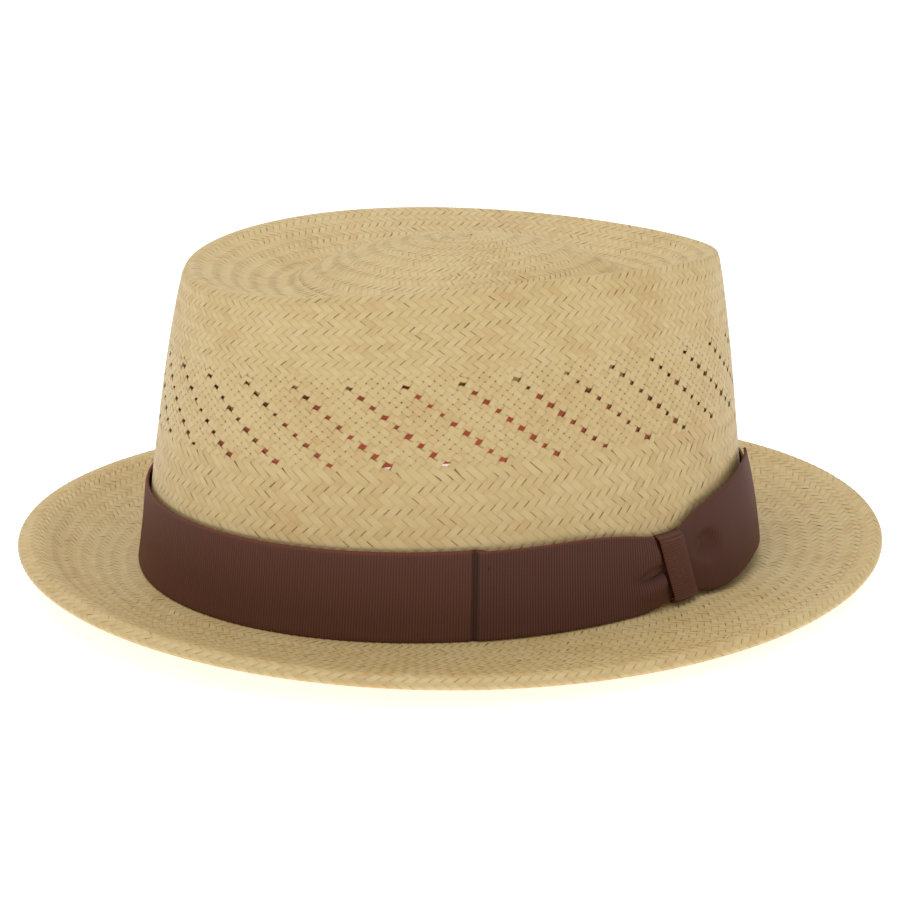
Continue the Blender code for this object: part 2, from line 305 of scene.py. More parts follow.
def add_node(tree, kind, settings=None, values=None, links=None, stops=()):
    """A node with its properties, its sockets' values and sources and, on a colour ramp, its stops."""
    node = tree.nodes.new(kind)
    for key, value in (settings or {}).items():
        setattr(node, key, value)
    for key, value in (values or {}).items():
        node.inputs[key].default_value = value
    for key, source in (links or {}).items():
        tree.links.new(source, node.inputs[key])
    elements = node.color_ramp.elements if stops else []
    while len(elements) < len(stops):
        elements.new(0.5)
    for element, (position, colour) in zip(elements, stops):
        element.position = position
        element.color = linear(colour)
    return node


def new_material(name, values):
    made = bpy.data.materials.new(name)
    made.use_nodes = True
    surface = made.node_tree.nodes["Principled BSDF"]
    for key, value in values.items():
        surface.inputs[key].default_value = value
    return made, made.node_tree, surface


def fibrous(tree, vector, scale, amount, tone, tones, stops):
    """Noise drawn out along the fibres, and the colour it gives when an amount of it is added to the tone."""
    drawn_out = add_node(tree, "ShaderNodeMapping", values={"Scale": scale}, links={"Vector": vector})
    noise = add_node(
        tree,
        "ShaderNodeTexNoise",
        values={"Scale": 1.0, "Detail": 2.0, "Roughness": 0.6},
        links={"Vector": drawn_out.outputs["Vector"]},
    )
    fibres = noise.outputs["Fac"]
    toned = add_node(tree, "ShaderNodeMath", {"operation": "MULTIPLY_ADD"}, {1: amount}, {0: fibres, 2: tone})
    share = add_node(
        tree,
        "ShaderNodeMapRange",
        values={"From Min": tones[0], "From Max": tones[1]},
        links={"Value": toned.outputs["Value"]},
    )
    ramp = add_node(tree, "ShaderNodeValToRGB", links={"Fac": share.outputs["Result"]}, stops=stops)
    return fibres, ramp.outputs["Color"]


# painted shade: the crease attribute mixes the colour towards a dark shade colour in folds and creases
def finish_surface(tree, surface, colour, fold_shade, fibres, strength, depth):
    """Paints shade into the folds and creases, raises the fibres and links both to the surface."""
    crease_shade = add_node(tree, "ShaderNodeAttribute", {"attribute_name": "crease_shade"})
    folded = add_node(
        tree,
        "ShaderNodeMix",
        {"data_type": "RGBA"},
        {MIX_B: linear(fold_shade)},
        {MIX_SHARE: crease_shade.outputs["Fac"], MIX_A: colour},
    )
    bump = add_node(
        tree, "ShaderNodeBump", values={"Strength": strength, "Distance": depth}, links={"Height": fibres}
    )
    tree.links.new(folded.outputs[MIX_RESULT], surface.inputs["Base Color"])
    tree.links.new(bump.outputs["Normal"], surface.inputs["Normal"])

# %% [markdown]
# ## Straw as a material
# The straw is toquilla palm, split by hand into flat strands about 2 mm wide, boiled, bleached with sulphur
# smoke and dried. That gives the eye a pale satin surface with fine lines along each strand, and no two
# strands quite the same cream, honey or ochre. Its fibres are 0.1 to 0.2 mm apart, too fine for the
# picture, so the lines are drawn 0.35 mm apart. Plant fibre's index of refraction is near 1.53, and the
# dried skin scatters a wide highlight.

# %% Straw material
FIBRE_SPACING_MM = 0.35
STAIN_SIZE_MM = 22.0
STRAW_IOR = 1.53
STRAW_ROUGHNESS = 0.52


def straw_material(name, pale, honey, ochre, shade):
    made, tree, surface = new_material(name, {"Roughness": STRAW_ROUGHNESS, "IOR": STRAW_IOR})
    strand = add_node(tree, "ShaderNodeAttribute", {"attribute_name": "strand"}).outputs["Vector"]
    parts = add_node(tree, "ShaderNodeSeparateXYZ", links={"Vector": strand})
    place_on_hat = add_node(tree, "ShaderNodeTexCoord")
    stains = add_node(
        tree,
        "ShaderNodeTexNoise",
        values={"Scale": 1000 / STAIN_SIZE_MM, "Detail": 3.0, "Roughness": 0.55},
        links={"Vector": place_on_hat.outputs["Object"]},
    )
    stained = add_node(
        tree,
        "ShaderNodeMath",
        {"operation": "MULTIPLY_ADD"},
        {1: 0.9},
        {0: stains.outputs["Fac"], 2: parts.outputs["Z"]},
    )
    scale = (0.12 / FIBRE_SPACING_MM, 1 / FIBRE_SPACING_MM, 7.0)
    stops = [(0.0, pale), (0.55, honey), (1.0, ochre)]
    fibres, colour = fibrous(tree, strand, scale, 0.35, stained.outputs["Value"], (0.35, 1.75), stops)
    finish_surface(tree, surface, colour, shade, fibres, 0.35, 0.08 * MM)
    return made


# each straw's last colour is painted shade for its creases; the second straw, for the layer under the floats,
# is a darker copy of the first, painted shade
palm_straw = straw_material("bleached_toquilla_straw", "#DDC795", "#D4BA83", "#C6A268", "#8A6636")
straw_in_painted_shade = straw_material("toquilla_straw_in_shade", "#C29A60", "#B48B52", "#A07844", "#7C5A30")
print("made", palm_straw.name, "and", straw_in_painted_shade.name)

# %% [markdown]
# ## Meshes from arrays
# Ten thousand straws are far too many for one object each, so each piece is one mesh whose points come from
# numpy. A small helper fills a mesh from a grid of points for each straw, with what the straw material
# reads on every point.

# %% Mesh helper
def grid_quads(down, across, closed=False, looped=False):
    """The faces of one grid of points. closed joins its last column to its first, looped its last row."""
    rows = np.arange(down if looped else down - 1)[:, None]
    left = np.arange(across if closed else across - 1)[None, :]
    below, right = (rows + 1) % down, (left + 1) % across
    corners = (rows * across + left, below * across + left, below * across + right, rows * across + right)
    return np.stack(np.broadcast_arrays(*corners), axis=-1).reshape(-1, 4)


def add_piece(name, points, faces, material, attributes=None, inside_out=False):
    """A mesh piece that rides on the hat. faces is an array of triangles or quads."""
    points = np.asarray(points, float).reshape(-1, 3)
    faces = np.asarray(faces)[:, ::-1] if inside_out else np.asarray(faces)
    mesh = bpy.data.meshes.new(name)
    mesh.vertices.add(len(points))
    mesh.vertices.foreach_set("co", points.astype(np.float32).ravel())
    mesh.loops.add(faces.size)
    mesh.loops.foreach_set("vertex_index", faces.astype(np.int32).ravel())
    mesh.polygons.add(len(faces))
    mesh.polygons.foreach_set("loop_start", np.arange(0, faces.size, faces.shape[1], dtype=np.int32))
    for key, values in (attributes or {}).items():
        is_vector = values.ndim > 1 and values.shape[-1] == 3
        kind, field = ("FLOAT_VECTOR", "vector") if is_vector else ("FLOAT", "value")
        mesh.attributes.new(key, kind, "POINT").data.foreach_set(field, values.astype(np.float32).ravel())
    mesh.update(calc_edges=True)
    mesh.shade_smooth()
    mesh.materials.append(material)
    piece = bpy.data.objects.new(name, mesh)
    bpy.context.scene.collection.objects.link(piece)
    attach(piece, "root")
    return piece


def joined(batches):
    """Several batches of grids, each (points, quads, attributes), as one set of arrays."""
    points, faces, first = [], [], 0
    attributes = {key: [] for key in batches[0][2]}
    for batch_points, quads, batch_attributes in batches:
        count, size = batch_points.shape[0], batch_points.shape[1] * batch_points.shape[2]
        starts = first + np.arange(count)[:, None, None] * size
        faces.append((starts + quads[None]).reshape(-1, quads.shape[1]))
        points.append(batch_points.reshape(-1, 3))
        for key, values in batch_attributes.items():
            attributes[key].append(values.reshape(count * size, -1))
        first += count * size
    return np.concatenate(points), np.concatenate(faces), {
        key: np.concatenate(values).squeeze() for key, values in attributes.items()
    }


def thicken(piece, thickness):
    """Gives a sheet its thickness, on the side away from its faces."""
    layer = piece.modifiers.new("thickness", "SOLIDIFY")
    layer.thickness = thickness
    layer.offset = -1.0


def stand_for(piece, node):
    """Lets a piece take the place of a solid, or of a part of it."""
    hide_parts(node)
    print(piece.name, "has", len(piece.data.polygons), "faces")
    return piece

# %% [markdown]
# ## How the straw is woven
# Two families of straws spiral round the hat, one rising to the right and one to the left. In most of it
# each straw goes over two and under two, and all straws of one lean come up in the same row, which gives
# rows of slashes that lean one way and then the other, a herringbone. Where the hat has air gaps each straw
# goes over one and under one. Only the stretch of a straw that lies on top shows, so each such float is one
# small curved tile whose ends dip under the next ones. The inside of the hat shows the floats that the
# outside hides.

# %% The lattice of the weave
TILE_ALONG = np.array([0.0, 0.15, 0.5, 0.85, 1.0])
TILE_ACROSS = np.array([-1.0, -0.62, 0.62, 1.0])
PLAIN_ALONG = np.array([0.0, 0.22, 0.78, 1.0])
DIP = 0.30
FLOAT_TOP = 0.07 * MM
FLOAT_SUNK = -0.17 * MM
SIDE_SHARE = 0.76
CORE_DEPTH = 0.26 * MM
WALL = 1.55 * MM
# painted shade: how much a float's ends and sides are darkened where they dip under their neighbours
END_PAINTED_SHADE = 0.28
SIDE_PAINTED_SHADE = 0.10
OTHER_LEAN = {"/": "\\", "\\": "/"}


class Lattice:
    """Rows of crossings round the hat: where each starts, which lean is on top in it, and how many straws."""

    def __init__(self, start, pitches, leans, straws, turn=0.0, twist=0.0):
        self.edges = start + np.concatenate([[0], np.cumsum(pitches)])
        self.leans, self.straws, self.turn, self.twist = leans, straws, turn, twist

    def turn_at(self, along):
        """How far round the hat it has turned, because one lean spirals more steeply than the other."""
        return self.turn + self.twist * (along - self.edges[0])

    def locate(self, rising, falling):
        """Where a point of the lattice is. Rising straws are counted one way and falling straws the other."""
        row = rising - falling
        along = np.interp(row + 0.5, np.arange(len(self.edges)), self.edges)
        return (rising + falling) / (2 * self.straws) + self.turn_at(along), along

    def runs(self):
        """Stretches of rows with one lean on top: (lean, first row, last row)."""
        found, first = [], 0
        for row in range(1, len(self.leans) + 1):
            if row == len(self.leans) or self.leans[row] != self.leans[first]:
                found.append((self.leans[first], first, row - 1))
                first = row
        return found


def twill(pairs, first):
    """Pairs of rows that lean one way and the other by turns."""
    leans = []
    for pair in range(pairs):
        leans += [first if pair % 2 == 0 else OTHER_LEAN[first]] * 2
    return leans


def nearest_turn(difference, straws):
    """How many whole turns bring a difference of straw counts nearest to none."""
    return -np.round(difference / straws) * straws


def float_tiles(lattice, lean, first, last, rng, fill, slack, inside, gaps=None):
    """One tile for each straw of this lean where it lies on top from the first row to the last."""
    straws = lattice.straws
    stations = PLAIN_ALONG if first == last else TILE_ALONG
    index = np.arange(straws, dtype=float)[:, None, None]
    row = (first - 0.5 - DIP + stations * (last - first + 1 + 2 * DIP))[None, :, None]
    side = TILE_ACROSS[None, None, :]
    width = fill * (1 - slack * rng.random((straws, 1, 1)) ** 2)
    shift = 0.5 * (fill - width) * rng.uniform(-1, 1, (straws, 1, 1))
    skew = 0.05 * slack * rng.uniform(-1, 1, (straws, 1, 1)) * (stations * 2 - 1)[None, :, None]
    own = index + shift + skew + side * width / 2
    if lean == "/":
        rising, falling = own, index - row + 0 * side
        centre_rising, centre_falling = index, index - row
    else:
        rising, falling = index + row + 0 * side, own
        centre_rising, centre_falling = index + row, index
    if gaps is not None:
        wider = GAP_WIDER_INSIDE if inside else 1.0
        centres = (centre_rising, centre_falling)
        rising, falling = part_straws(lean, rising, falling, *centres, straws, gaps, wider)
    around, along = lattice.locate(rising, falling)
    arch = 1 - np.abs(stations * 2 - 1) ** 4
    edge = np.where(np.abs(TILE_ACROSS) > 0.9, SIDE_SHARE, 1.0)
    height = arch[None, :, None] * edge[None, None, :]
    tallness = rng.uniform(0.75, 1.15, (straws, 1, 1))
    lift = mix(FLOAT_SUNK, FLOAT_TOP * tallness, height)
    lift = -WALL - lift if inside else lift
    tone = 0.2 + 0.3 * straw_tones[lean][:straws, None, None] + 0.3 * rng.random((straws, 1, 1))
    pitch = ring_length(lattice.edges[first]) / straws / MM
    length_mm = (row + index * 3.7) * 1.7
    shape = (straws, len(stations), len(TILE_ACROSS))
    strand = np.stack(np.broadcast_arrays(length_mm, side * pitch * 0.35 + index * 5.3, tone), axis=-1)
    # painted shade at each float's dipping ends and sides
    crease_shade = END_PAINTED_SHADE * (1 - arch)[None, :, None] + SIDE_PAINTED_SHADE * (np.abs(TILE_ACROSS) > 0.9)[None, None, :]
    attributes = {"strand": strand.reshape(*shape, 3), "crease_shade": np.broadcast_to(crease_shade, shape)}
    return place(around, along, lift).reshape(*shape, 3), grid_quads(shape[1], shape[2]), attributes


TONE_SEED = 11
MOST_STRAWS = 400
tone_rng = np.random.default_rng(TONE_SEED)
straw_tones = {lean: tone_rng.random(MOST_STRAWS) for lean in ("/", "\\")}

# %% [markdown]
# ## Air gaps
# The maker leaves out no straw for the air gaps. Two neighbouring straws are kept apart all down a slanted
# line, and the straws that cross them are pushed together in twos, which opens a small diamond at every
# second crossing. So the gaps are made by bending the lattice round each one, by a little more or less each
# time as fingers would.

# %% Lines of air gaps
GAP_LINES = 32
GAPS_A_LINE = 9
GAP_ROW_STEP = 2
GAP_SEED = 5
GAP_SPREAD = 0.95
GAP_SHEAR = 0.85
GAP_WIDER_INSIDE = 1.5


def gap_centres(straws, first_row):
    """The lattice places of the gaps and how far each one pushes the straws round it."""
    rng = np.random.default_rng(GAP_SEED)
    every = straws // GAP_LINES
    line, gap = np.meshgrid(np.arange(GAP_LINES), np.arange(GAPS_A_LINE), indexing="ij")
    row = first_row + GAP_ROW_STEP * gap
    falling = every * line + 0.5
    size = rng.uniform(0.6, 1.1, line.shape)
    open_more = mix(0.7, 1.35, gap / (GAPS_A_LINE - 1))
    return dict(
        row=row.ravel(),
        falling=falling.ravel(),
        rising=(falling + row).ravel(),
        push_rising=(0.44 * size * rng.uniform(0.8, 1.2, line.shape)).ravel(),
        push_falling=(0.29 * size * open_more).ravel(),
        shear=(GAP_SHEAR * rng.uniform(0.6, 1.2, line.shape)).ravel(),
    )


def part_straws(lean, rising, falling, centre_rising, centre_falling, straws, gaps, wider):
    """Moves straws aside from the gaps they pass. Falling ones also turn level there, so a gap is slanted."""
    centre_rising, centre_falling = np.broadcast_arrays(centre_rising, centre_falling)
    to_rising = centre_rising[..., None] - gaps["rising"]
    to_falling = centre_falling[..., None] - gaps["falling"]
    turns = nearest_turn((to_rising + to_falling) / 2, straws)
    to_rising, to_falling = to_rising + turns, to_falling + turns
    own, other = (to_rising, to_falling) if lean == "/" else (to_falling, to_rising)
    push = gaps["push_rising"] if lean == "/" else gaps["push_falling"]
    beside = np.where(np.abs(own) < 1, 1.0, np.where(np.abs(own) < 2, 0.3, 0.0)) * np.sign(own)
    near = np.exp(-((other / GAP_SPREAD) ** 2))
    moved = wider * (push * beside * near).sum(axis=-1)
    if lean == "\\":
        beside = np.clip(1.5 - 0.7 * np.abs(own), 0, 1)
        moved += (gaps["shear"] * other * beside * near).sum(axis=-1)
    return (rising + moved, falling) if lean == "/" else (rising, falling + moved)

# %% [markdown]
# ## The crown's weave
# One lattice of 160 straws each way runs from the valley of the tip over the rim and down the wall. Row
# heights follow the real weave: 1.19 mm a crossing above the air gaps, 1.44 mm among them and 1.63 mm
# below, where the block stretched the straw most. The middle of the tip starts with few straws, and the
# weaver adds more ring by ring.

# %% Weave the crown
CROWN_STRAWS = 160
TIP_ROWS = 24
UPPER_ROWS = 20
BELT_ROWS = 19
LOWER_LEANS = ["\\"] * 3 + twill(8, "/")
VALLEY_SHARE = 0.60
BELT_PITCH = 1.44 * MM
LOWER_PITCH = 1.63 * MM
BELT_START = AT_RIM + 23.8 * MM
CROWN_TURN = 0.0048
CROWN_TWIST = 0.18

tip_pitch = (1 - VALLEY_SHARE) * AT_RIM / TIP_ROWS
upper_pitch = (BELT_START - AT_RIM) / UPPER_ROWS
belt_leans = ["/" if row % 2 == 0 else "\\" for row in range(BELT_ROWS)]
belt_pitches = [BELT_PITCH] * BELT_ROWS
lower_pitches = [LOWER_PITCH] * len(LOWER_LEANS)
crown = Lattice(
    VALLEY_SHARE * AT_RIM,
    [tip_pitch] * TIP_ROWS + [upper_pitch] * UPPER_ROWS + belt_pitches + lower_pitches,
    twill(TIP_ROWS // 2, "/") + twill(UPPER_ROWS // 2, "/") + belt_leans + LOWER_LEANS,
    CROWN_STRAWS,
    CROWN_TURN,
    CROWN_TWIST,
)
BELT_ROW = TIP_ROWS + UPPER_ROWS
gaps = gap_centres(CROWN_STRAWS, BELT_ROW + 2)


def weave(name, lattices, fill, slack, seed, inside=False, first=0, last=None, gaps=None):
    """Floats of one or more lattices, or of a stretch of their rows, as one piece."""
    rng = np.random.default_rng(seed)
    batches = []
    for lattice in lattices:
        for lean, start, end in lattice.runs():
            if start < first or (last is not None and end > last):
                continue
            shown = OTHER_LEAN[lean] if inside else lean
            near = gaps if BELT_ROW - 2 <= start <= BELT_ROW + BELT_ROWS else None
            share = BELT_FILL if near is not None and start == end else fill[shown]
            batches.append(float_tiles(lattice, shown, start, end, rng, share, slack, inside, near))
    points, faces, attributes = joined(batches)
    piece = add_piece(name, points, faces, palm_straw, attributes, inside_out=inside)
    stand_for(piece, "straw_body")


# how much of its room a straw of each lean fills
FILL = {"/": 0.965, "\\": 1.01}
BRIM_FILL = {"/": 0.955, "\\": 0.995}
HEM_FILL = {"/": 0.97, "\\": 1.0}
BELT_FILL = 0.84
SLACK = 0.11
weave("tip_edge_weave", [crown], FILL, SLACK, 21, last=TIP_ROWS - 1)
weave("upper_wall_weave", [crown], FILL, SLACK, 22, first=TIP_ROWS, last=BELT_ROW - 1)
weave("air_gap_weave", [crown], FILL, SLACK, 23, first=BELT_ROW, last=BELT_ROW + BELT_ROWS - 1, gaps=gaps)
weave("lower_wall_weave", [crown], FILL, SLACK, 24, first=BELT_ROW + BELT_ROWS, gaps=gaps)
weave("crown_inside_weave", [crown], FILL, SLACK, 25, inside=True, gaps=gaps)

# %% Weave the middle of the tip
# outer and inner: shares of the way from the tip's middle to the rim. straws: how many each way in that
# ring
TIP_RINGS = [
    dict(inner=0.44, outer=0.60, straws=116),
    dict(inner=0.31, outer=0.44, straws=84),
    dict(inner=0.20, outer=0.31, straws=60),
    dict(inner=0.12, outer=0.20, straws=38),
    dict(inner=0.06, outer=0.12, straws=22),
    dict(inner=0.006, outer=0.06, straws=12),
]
TIP_PITCH = 1.2 * MM
RING_LAP = 0.5


def tip_lattice(ring):
    length = (ring["outer"] - ring["inner"]) * AT_RIM
    pairs = max(1, round(length / TIP_PITCH / 2))
    pitch = length / (2 * pairs)
    start = max(ring["inner"] * AT_RIM - RING_LAP * pitch, 0.5 * MM)
    return Lattice(start, [pitch * (1 + RING_LAP / pairs)] * (2 * pairs), twill(pairs, "/"), ring["straws"])


tip_lattices = [tip_lattice(ring) for ring in TIP_RINGS]
weave("tip_middle_weave", tip_lattices, FILL, SLACK, 31)
weave("tip_inside_weave", tip_lattices, FILL, SLACK, 32, inside=True)

# %% [markdown]
# ## The brim and its folded edge
# The brim goes on with more straws, 240 each way, in rows about 5.4 mm apart. At its edge the straw is
# folded under and pressed, so the weave turns over a rounded hem 7 mm wide. The hem's rows start 0.9 mm
# inside the brim's last ones, so no line shows between them.

# %% Weave the brim
BRIM_STRAWS = 240
BRIM_PITCH = 1.35 * MM
BRIM_UP_WALL = 3.0 * MM
HEM_LAP = 0.9 * MM


def brim_lattice(start, length):
    pairs = round(length / BRIM_PITCH / 2)
    return Lattice(start, [length / (2 * pairs)] * (2 * pairs), twill(pairs, "/"), BRIM_STRAWS)


brim_start = AT_FOOT - BRIM_UP_WALL
brim = brim_lattice(brim_start, AT_GROOVE - brim_start)
hem = brim_lattice(AT_GROOVE - HEM_LAP, AT_END - AT_GROOVE + HEM_LAP)
weave("brim_weave", [brim], BRIM_FILL, SLACK, 41)
weave("brim_underside_weave", [brim], FILL, SLACK, 42, inside=True)
weave("hem_weave", [hem], HEM_FILL, SLACK / 2, 43)

# %% [markdown]
# ## The layer under the floats
# Between the floats the eye meets the straws of the layer below, in shade, and that shade is painted into
# this layer's darker colours. It is one thin shell that follows the lattice, so its triangles can be left
# out exactly where an air gap goes through both layers. Solidify then gives it thickness, which also walls
# the gaps.

# %% Build the shell
CORE_STEP = 2.4 * MM
CORE_TONE = 0.5
# painted shade laid over the whole under layer and the hem's under layer
CORE_PAINTED_SHADE = 0.35
HEM_STEP = 0.7 * MM


def core_shell():
    inner = np.arange(2.0 * MM, crown.edges[0], CORE_STEP)
    middle = (crown.edges[1:] + crown.edges[:-1]) / 2
    outer = np.arange(crown.edges[-1] + CORE_STEP / 2, AT_GROOVE + 1.2 * MM, CORE_STEP)
    along = np.concatenate([inner, middle, outer])
    row_number = np.arange(len(along)) - len(inner)
    odd = row_number % 2
    column = np.arange(CROWN_STRAWS)
    around = (column[None, :] + odd[:, None] / 2) / CROWN_STRAWS + crown.turn_at(along)[:, None]
    points = place(around, along[:, None], -CORE_DEPTH).reshape(-1, 3)
    faces = []
    open_cells = {(int(r), int(f - 0.5 + r / 2) % CROWN_STRAWS) for r, f in zip(gaps["row"], gaps["falling"])}
    for r in range(len(along) - 1):
        here, below = r * CROWN_STRAWS, (r + 1) * CROWN_STRAWS
        for c in range(CROWN_STRAWS):
            after, before = (c + 1) % CROWN_STRAWS, (c - 1) % CROWN_STRAWS
            if odd[r] == 0:
                down_cell, up_cell = (row_number[r], c), (row_number[r + 1], None)
                down = (here + c, below + c, here + after)
                up = (here + c, below + before, below + c)
            else:
                down_cell, up_cell = (row_number[r], None), (row_number[r + 1], c)
                down = (here + c, below + after, here + after)
                up = (here + c, below + c, below + after)
            if down_cell not in open_cells:
                faces.append(down)
            if up_cell not in open_cells:
                faces.append(up)
    tip = len(points)
    points = np.concatenate([points, place(np.zeros(1), np.zeros(1), np.full(1, -CORE_DEPTH))])
    faces += [(tip, c, (c + 1) % CROWN_STRAWS) for c in range(CROWN_STRAWS)]
    attributes = {"strand": np.full((len(points), 3), CORE_TONE), "crease_shade": np.full(len(points), CORE_PAINTED_SHADE)}
    piece = add_piece("straw_under_layer", points, faces, straw_in_painted_shade, attributes)
    thicken(piece, WALL - 2 * CORE_DEPTH)
    stand_for(piece, "straw_body")
    print("air gaps:", len(open_cells))


def hem_core():
    """The folded edge as one closed ring under its floats."""
    columns = 2 * BRIM_STRAWS
    around = np.arange(columns) / columns
    along = np.arange(AT_GROOVE - HEM_LAP, AT_END, HEM_STEP)
    steps = np.arange(SKIN_COLUMNS + 1) / SKIN_COLUMNS
    angles = np.interp(around, steps, np.append(skin_angles, 2 * math.pi))
    closing = [brim_line(angles, HEM_WIDTH + HEM_LAP, height) for height in (CORE_DEPTH, HEM_THICKNESS / 3)]
    rings = np.concatenate([place(around[None, :], along[:, None], -CORE_DEPTH), closing])
    attributes = {"strand": np.full(rings.shape, CORE_TONE), "crease_shade": np.full(rings.shape[:2], CORE_PAINTED_SHADE)}
    faces = grid_quads(*rings.shape[:2], closed=True, looped=True)
    stand_for(add_piece("hem_under_layer", rings, faces, straw_in_painted_shade, attributes), "straw_body")


core_shell()
hem_core()

# %% [markdown]
# ## Places on the crown wall
# Ribbon and leather go round the crown by height, not along the straw. So one more table says how far along
# the skin the wall reaches each height, and a second one how far round the hat a length of ribbon reaches,
# from the knot on.

# %% Height on the wall
CLEARANCE = 0.3 * MM
RIBBON = 1.0 * MM
BAND_HEIGHT = 27.4 * MM
BAND_LOW = STRAW + CLEARANCE
KNOT_ANGLE = math.radians(302.5)
HEIGHT_STEP = 0.5 * MM
TALLEST = 60.0 * MM
wall_rows = slice(int(AT_RIM / SKIN_STEP) + 4, int(AT_FOOT / SKIN_STEP))
heights = np.arange(STRAW, TALLEST, HEIGHT_STEP)
along_at_height = np.array([
    np.interp(heights, skin_points[wall_rows, column, 2][::-1], skin_along[wall_rows][::-1])
    for column in range(SKIN_COLUMNS)
])


def on_wall(around, height, out):
    """Points at a height over the floor, a level distance out from the crown wall."""
    around, height, out = np.broadcast_arrays(around, height, out)
    column = (around % 1.0) * SKIN_COLUMNS
    left = np.floor(column).astype(int)
    share = column - left
    row = np.clip((height - STRAW) / HEIGHT_STEP, 0, len(heights) - 1.001)
    low = np.floor(row).astype(int)

    def look_up(columns):
        columns = columns % SKIN_COLUMNS
        return mix(along_at_height[columns, low], along_at_height[columns, low + 1], row - low)

    along = mix(look_up(left), look_up(left + 1), share)
    foot = place(around, along, 0 * along)
    outward = level_unit(place(around, along, np.full(along.shape, MM)) - foot)
    points = foot + outward * out[..., None]
    points[..., 2] = height
    return points


steps_round = np.arange(SKIN_COLUMNS + 1) / SKIN_COLUMNS
ribbon_ring = on_wall(steps_round, np.full(SKIN_COLUMNS + 1, BAND_HEIGHT / 2), np.zeros(SKIN_COLUMNS + 1))
ribbon_reach = np.concatenate([[0], np.cumsum(np.linalg.norm(np.diff(ribbon_ring, axis=0), axis=1))])
RIBBON_GIRTH = ribbon_reach[-1]
knot_reach = np.interp(
    np.interp(KNOT_ANGLE, np.append(skin_angles, 2 * math.pi), steps_round), steps_round, ribbon_reach
)


def from_knot(distance):
    """How far round the hat a distance along the ribbon from the knot is. Towards the back counts up."""
    return np.interp((knot_reach + distance) % RIBBON_GIRTH, ribbon_reach, steps_round)


print(f"the ribbon's line is {RIBBON_GIRTH / MM:.0f} mm round")

# %% [markdown]
# ## Grosgrain ribbon as a material
# Grosgrain is a viscose ribbon with thick weft cords under a fine warp, which makes ribs across it. These
# ribs are 0.85 mm apart, wide enough to be real shape, so the mesh holds them and the material adds what is
# finer: threads 0.2 mm apart, painted shade in the furrows and painted light on the crests, and a sheen,
# because viscose filaments reflect along their sides. Viscose has an index of refraction near 1.53, and the
# woven face is rough.

# %% Ribbon and thread materials
WARP_SPACING_MM = 0.2
RIBBON_IOR = 1.53
RIBBON_ROUGHNESS = 0.66
RIBBON_SHEEN = 0.12
RIBBON_SHINE = 0.30


def ribbon_material(name, furrow_shade, brown, crest_light, selvedge, fold_shade):
    made, tree, surface = new_material(
        name,
        {
            "Roughness": RIBBON_ROUGHNESS,
            "IOR": RIBBON_IOR,
            "Specular IOR Level": RIBBON_SHINE,
            "Sheen Weight": RIBBON_SHEEN,
            "Sheen Roughness": 0.45,
            "Sheen Tint": linear("#C0825E"),
        },
    )
    thread, rib, edge = [
        add_node(tree, "ShaderNodeAttribute", {"attribute_name": key})
        for key in ("thread", "rib", "selvedge")
    ]
    scale = (1 / WARP_SPACING_MM, 0.5 / WARP_SPACING_MM, 1.0)
    stops = [(0.0, furrow_shade), (0.5, brown), (1.0, crest_light)]
    threads, colour = fibrous(
        tree, thread.outputs["Vector"], scale, 0.45, rib.outputs["Fac"], (0.1, 1.35), stops
    )
    edged = add_node(
        tree,
        "ShaderNodeMix",
        {"data_type": "RGBA"},
        {MIX_B: linear(selvedge)},
        {MIX_SHARE: edge.outputs["Fac"], MIX_A: colour},
    )
    finish_surface(tree, surface, edged.outputs[MIX_RESULT], fold_shade, threads, 0.3, 0.05 * MM)
    return made


# painted light and shade: the first colour darkens the rib furrows, the third lightens the rib crests, the last
# is painted shade for folds, pleat and edges
grosgrain = ribbon_material("brown_viscose_grosgrain", "#2C150F", "#4E2B1F", "#63392A", "#7A3E2C", "#160B08")
print("made", grosgrain.name)

# %% [markdown]
# ## The ribbon round the crown
# The band is one length of ribbon sewn end to end under the bow. Its ribs stand upright, so the mesh goes
# round in four columns a rib, and its two edges turn in a little where the weft cords loop back.

# %% Ribbon strips
RIB_PITCH = 0.85 * MM
RIB_COLUMNS = 4
RIB_HEIGHT = 0.075 * MM
RIB_SHAPE = np.array([0.0, 0.72, 1.0, 0.72])
RIBBON_ROWS = np.array([0.0, 0.012, 0.03, 0.06, 0.2, 0.5, 0.8, 0.94, 0.97, 0.988, 1.0])
SELVEDGE_TURN = 0.35 * MM
SELVEDGE_LINE = 0.7 * MM
RIBBON_THICKNESS = 0.8 * MM


def smooth_path(rows, step):
    """Even steps along a smooth curve through the rows, measured in their first two columns."""
    rows = np.asarray(rows, float)
    lengths = np.maximum(np.linalg.norm(np.diff(rows[:, :2], axis=0), axis=1), 1e-6)
    knots = np.concatenate([[0], np.cumsum(lengths)])
    slopes = np.diff(rows, axis=0) / lengths[:, None]
    weight = (lengths[1:] / (lengths[1:] + lengths[:-1]))[:, None]
    tangents = np.concatenate([slopes[:1], slopes[:-1] * weight + slopes[1:] * (1 - weight), slopes[-1:]])
    count = max(2, round(knots[-1] / step))
    at = np.linspace(0, knots[-1], count + 1)
    part = np.clip(np.searchsorted(knots, at, side="right") - 1, 0, len(lengths) - 1)
    share, reach = ((at - knots[part]) / lengths[part])[:, None], lengths[part][:, None]
    return ease(rows[part], rows[part + 1], tangents[part], tangents[part + 1], reach, share)


